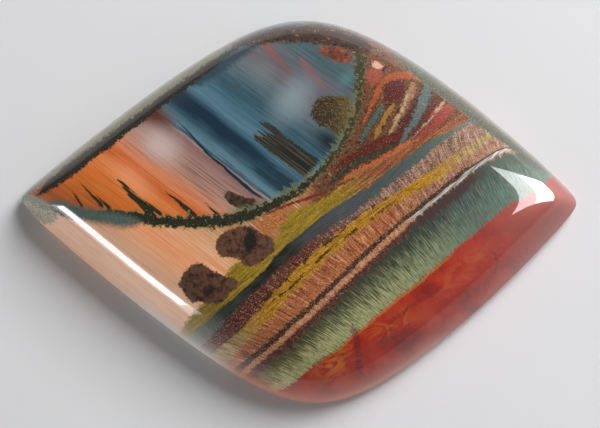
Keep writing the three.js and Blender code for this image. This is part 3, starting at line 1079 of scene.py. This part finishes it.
UPPER_REACHES = [2.3, 2.1, 1.3, 1.1, 1.6, 1.8, 1.9, 2.1, 2.4, 2.1, 1.7, 1.7, 1.7, 1.7, 1.8, 2.1]
LOWER_REACHES = [2.3, 2.0, 2.0, 1.6, 1.6, 1.8, 1.9, 1.9, 2.4, 1.7, 1.3, 1.2, 1.4, 1.8, 2.0, 2.1]
upper_lump = lump(place, (-4.4, -2.9), UPPER_REACHES, fray * 0.55, 0.08)
lower_lump = lump(place, (-7.3, -6.0), LOWER_REACHES, fray * 0.55, 0.08)
ore = tones(spread(crumb, 0.34, 0.66), (48, 30, 24), (84, 54, 40), (106, 70, 54), (84, 76, 54))
black_core = larger(cloud(place, (-3.95, -2.5), 80, (1.9, 0.95)),
                    cloud(place, (-7.1, -6.5), 60, (1.3, 0.8)) * 0.7)
black_core = smooth(black_core + fray * 0.8, 0.25, 0.7)
ore = paint(ore, black_core, tones(specks, (24, 22, 20), (44, 40, 34)))
colour = paint(colour, larger(upper_lump, lower_lump), ore)
print("lumps are laid:", len(tree.nodes), "nodes")

# %% [markdown]
# ## Rim and tip
#
# Along the far rim the layers turn dark and olive, and at the left tip the silica is a clear grey,
# like coarse sugar. These are small ribbons and clouds again, painted last because they cover the
# ends of everything else.

# %% Paint the rims
rim_crumbs = tones(rubble_crumb, (8, 8, 5), (26, 26, 14), (46, 42, 22), (80, 36, 22), (28, 28, 16),
                   (150, 118, 96))
far_corner_rim = ribbon(place, (-5.6, 13.9), (5.8, 13.6), (0.6, 1.0), 1.1, fray * 1.2, 0.2)
colour = paint(colour, far_corner_rim, rim_crumbs)
red_crumbs = smooth(cloud(place, (2.9, 13.1), -15, (2.3, 1.1)) + fray + crumb - 0.5, 0.3, 0.5)
colour = paint(colour, red_crumbs, tones(rubble_crumb, (44, 30, 22), (112, 52, 34), (146, 84, 60)))

olive_rim = ribbon(place, (-22.6, 1.1), (-4.9, 14.8), (0.46, 0.42), 0.05, fray * 0.25, 0.15)
colour = paint(colour, olive_rim, (122, 118, 82))
dark_line = ribbon(place, (-21.2, 1.2), (-4.6, 14.1), (0.6, 0.3), 0.05, fray * 0.8, 0.1)
colour = paint(colour, dark_line, tones(specks, (16, 10, 4), (34, 24, 10), (62, 50, 28)))
far_right_rim = ribbon(place, (7.4, 13.6), (20.4, 3.0), (0.6, 0.45), -0.2, fray * 0.8, 0.2)
colour = paint(colour, far_right_rim, tones(specks, (38, 44, 32), (66, 72, 54), (112, 108, 82)))

tip_crystals = smooth(cloud(place, (-21.2, 0.2), -28, (3.4, 1.6)) + fray * 0.7, 0.25, 0.5)
crystal_grey = tones(specks, (88, 96, 86), (150, 154, 138), (206, 210, 196))
colour = paint(colour, tip_crystals * 0.85, crystal_grey)
print("rims and tip are laid:", len(tree.nodes), "nodes")

# %% [markdown]
# ## Painted light on the thin edge
#
# Towards the rim the stone is only a millimetre or two thick, and its steep wall mirrors the pale
# paper. A pale tint that grows as the surface comes down is painted in for that: a painted
# reflection of the paper, with painted light on the near left slope, which faces away from the key
# light. It is nearly white on the near left, pinkish in the jasper at the right, and none on the
# dark far left side.

# %% Paint light on the thin edge: a painted reflection of the paper and painted light
EDGE_TOP, EDGE_FOOT = 3.4, 0.9
edge_painted_light = smooth(height, EDGE_TOP, EDGE_FOOT)
near_left = smooth(place_y * -1.0 - place_x * 0.7, -2.0, 6.0)
near_right = smooth(place_x * 0.8 - place_y, 5.0, 11.0)
far_left = smooth(place_y - place_x * 0.9, 2.0, 9.0)
painted_reflection_tint = paint((172, 172, 164), near_left, (228, 220, 212))
painted_reflection_tint = paint(painted_reflection_tint, near_right, (200, 140, 124))
painted_light_share = (near_left * (smooth(height, 2.0, 0.7) * 0.4 + 0.5) + 0.05) * (1.0 - far_left)
# Painted reflection and painted light are laid over the stone's colours near the rim.
colour = paint(colour, edge_painted_light * painted_light_share, painted_reflection_tint)
print("colour is complete:", len(tree.nodes), "nodes")

# %% [markdown]
# ## The finish
#
# A tumbled stone is dull, and a cut one is ground finer and finer until the quartz is as smooth as
# glass. Under that clear skin the fibres still scatter light, and that is what gives the depth. So
# the material has two parts: a softly rough base that carries the colour and a very slight bump
# along the fibres, and a clear coat above it that stays perfectly smooth and mirrors the lights.
# The back was only ground flat, so there the coat fades out.

# %% Put base, bump and coat together
QUARTZ_IOR = 1.54
FIBRE_ROUGHNESS = 0.4
FIBRE_SHEEN = 0.06
FIBRE_RELIEF = 0.05 * MM
POLISH_ROUGHNESS = 0.04
BACK_TOP, BACK_FLAT = 0.7, 0.2
BACK_LOSS = 0.8

on_back = smooth(height, BACK_TOP, BACK_FLAT)
relief = add_node(tree, "Bump", {"Height": fibres, "Strength": 0.12, "Distance": FIBRE_RELIEF})
skin = add_node(tree, "BsdfPrincipled", {
    "Base Color": colour, "Roughness": FIBRE_ROUGHNESS, "IOR": QUARTZ_IOR,
    "Specular IOR Level": FIBRE_SHEEN, "Coat Weight": 1.0 - on_back * BACK_LOSS,
    "Coat Roughness": POLISH_ROUGHNESS, "Coat IOR": QUARTZ_IOR,
    "Normal": Wire(relief.outputs[0])})
output = add_node(tree, "OutputMaterial")
tree.links.new(skin.outputs[0], output.inputs["Surface"])
print("material nodes:", len(tree.nodes))

# %% [markdown]
# ## Paper, light and sky
#
# The stone lies on pale grey paper. A polished stone needs its light in two parts. What lights its
# colours is broad and soft: a key light from behind on the right, and a weak bounce from the left
# along the table. What its polish mirrors is narrow: a bright window low at the right, with its
# paler frame, gives the glint near the right tip, and a strip almost on the table at the left,
# with a faint glow round it, draws the white streak along the near left shoulder. One set of
# lights could do both, but then every glint moved would change all the colours.
#
# The room is bright towards the window and dark in front, and its ceiling is dark: the flat top
# mirrors the ceiling, so the dark seams stay dark.

# %% Lay the paper
PAPER_SIZE = 1.5
bm = bmesh.new()
bmesh.ops.create_grid(bm, x_segments=1, y_segments=1, size=PAPER_SIZE / 2)
paper_mesh = bpy.data.meshes.new("paper")
bm.to_mesh(paper_mesh)
bm.free()
paper = bpy.data.objects.new("paper", paper_mesh)
bpy.context.scene.collection.objects.link(paper)

paper_material = bpy.data.materials.new("paper")
paper_material.use_nodes = True
paper_skin = paper_material.node_tree.nodes["Principled BSDF"]
paper_skin.inputs["Base Color"].default_value = shade(222, 222, 224)
paper_skin.inputs["Roughness"].default_value = 0.8
paper_skin.inputs["Specular IOR Level"].default_value = 0.2
paper_mesh.materials.append(paper_material)
print("paper:", PAPER_SIZE, "m square")

# %% Hang the lights
LIGHT_DISTANCE = 0.35
BEHIND_DISTANCE = 0.37


def hang_light(name, azimuth, elevation, size, radiance, mirrored, distance=LIGHT_DISTANCE):
    """A rectangular light that faces the stone. Azimuth 0 is at its right and 90 behind it.

    A mirrored light is seen only in the polish, and any other only lights the colours.
    """
    light = bpy.data.lights.new(name, "AREA")
    light.shape = "RECTANGLE"
    light.size, light.size_y = size
    light.energy = radiance * math.pi * size[0] * size[1]
    lamp = bpy.data.objects.new(name, light)
    across, rise = math.radians(azimuth), math.radians(elevation)
    outward = Vector((math.cos(rise) * math.cos(across), math.cos(rise) * math.sin(across),
                      math.sin(rise)))
    sideways = Vector((-math.sin(across), math.cos(across), 0))
    turn = Matrix((sideways, outward.cross(sideways), outward)).transposed().to_4x4()
    lamp.matrix_world = Matrix.Translation(outward * distance) @ turn
    lamp.visible_diffuse = not mirrored
    lamp.visible_glossy = mirrored
    bpy.context.scene.collection.objects.link(lamp)
    print(name, "hangs", distance, "m away")


hang_light("key", 46, 38, (0.2, 0.2), 12.4, mirrored=False)
hang_light("bounce_left", -130, 6, (0.2, 0.1), 7.0, mirrored=False)
hang_light("window", 18, 21, (0.30, 0.18), 26.0, mirrored=True)
hang_light("window_frame", 18, 31, (0.32, 0.29), 11.0, True, BEHIND_DISTANCE)
hang_light("strip_left", -145.2, 11, (0.1, 0.065), 26.0, mirrored=True)
hang_light("strip_glow", -145.2, 10, (0.125, 0.13), 4.5, True, BEHIND_DISTANCE)

# %% Make a room with a bright window side and a dark ceiling
WALL_BRIGHTNESS = 0.43
CEILING_BRIGHTNESS = 0.1
DARK_SIDE_SHARE = 0.35
CEILING_START, WALL_END = 0.8, 0.4
world = bpy.data.worlds.new("room")
bpy.context.scene.world = world
world.use_nodes = True
background = world.node_tree.nodes["Background"]
sky_place = Wire(add_node(world.node_tree, "TexCoord").outputs["Generated"])
sky_x, sky_y, sky_height = (Wire(out) for out in add_node(
    world.node_tree, "SeparateXYZ", {0: sky_place}).outputs)
to_window = smooth(sky_x * 0.98 + sky_y * 0.2, -0.8, 0.7)
side = to_window * (1.0 - DARK_SIDE_SHARE) + DARK_SIDE_SHARE
wall = smooth(sky_height, CEILING_START, WALL_END) * side
brightness = CEILING_BRIGHTNESS + wall * (WALL_BRIGHTNESS - CEILING_BRIGHTNESS)
world.node_tree.links.new(brightness.socket, background.inputs["Strength"])
background.inputs["Color"].default_value = (1.0, 1.0, 1.0, 1.0)
bpy.context.scene.view_settings.view_transform = "Standard"
print("room goes from", CEILING_BRIGHTNESS, "overhead to", WALL_BRIGHTNESS, "at the window")
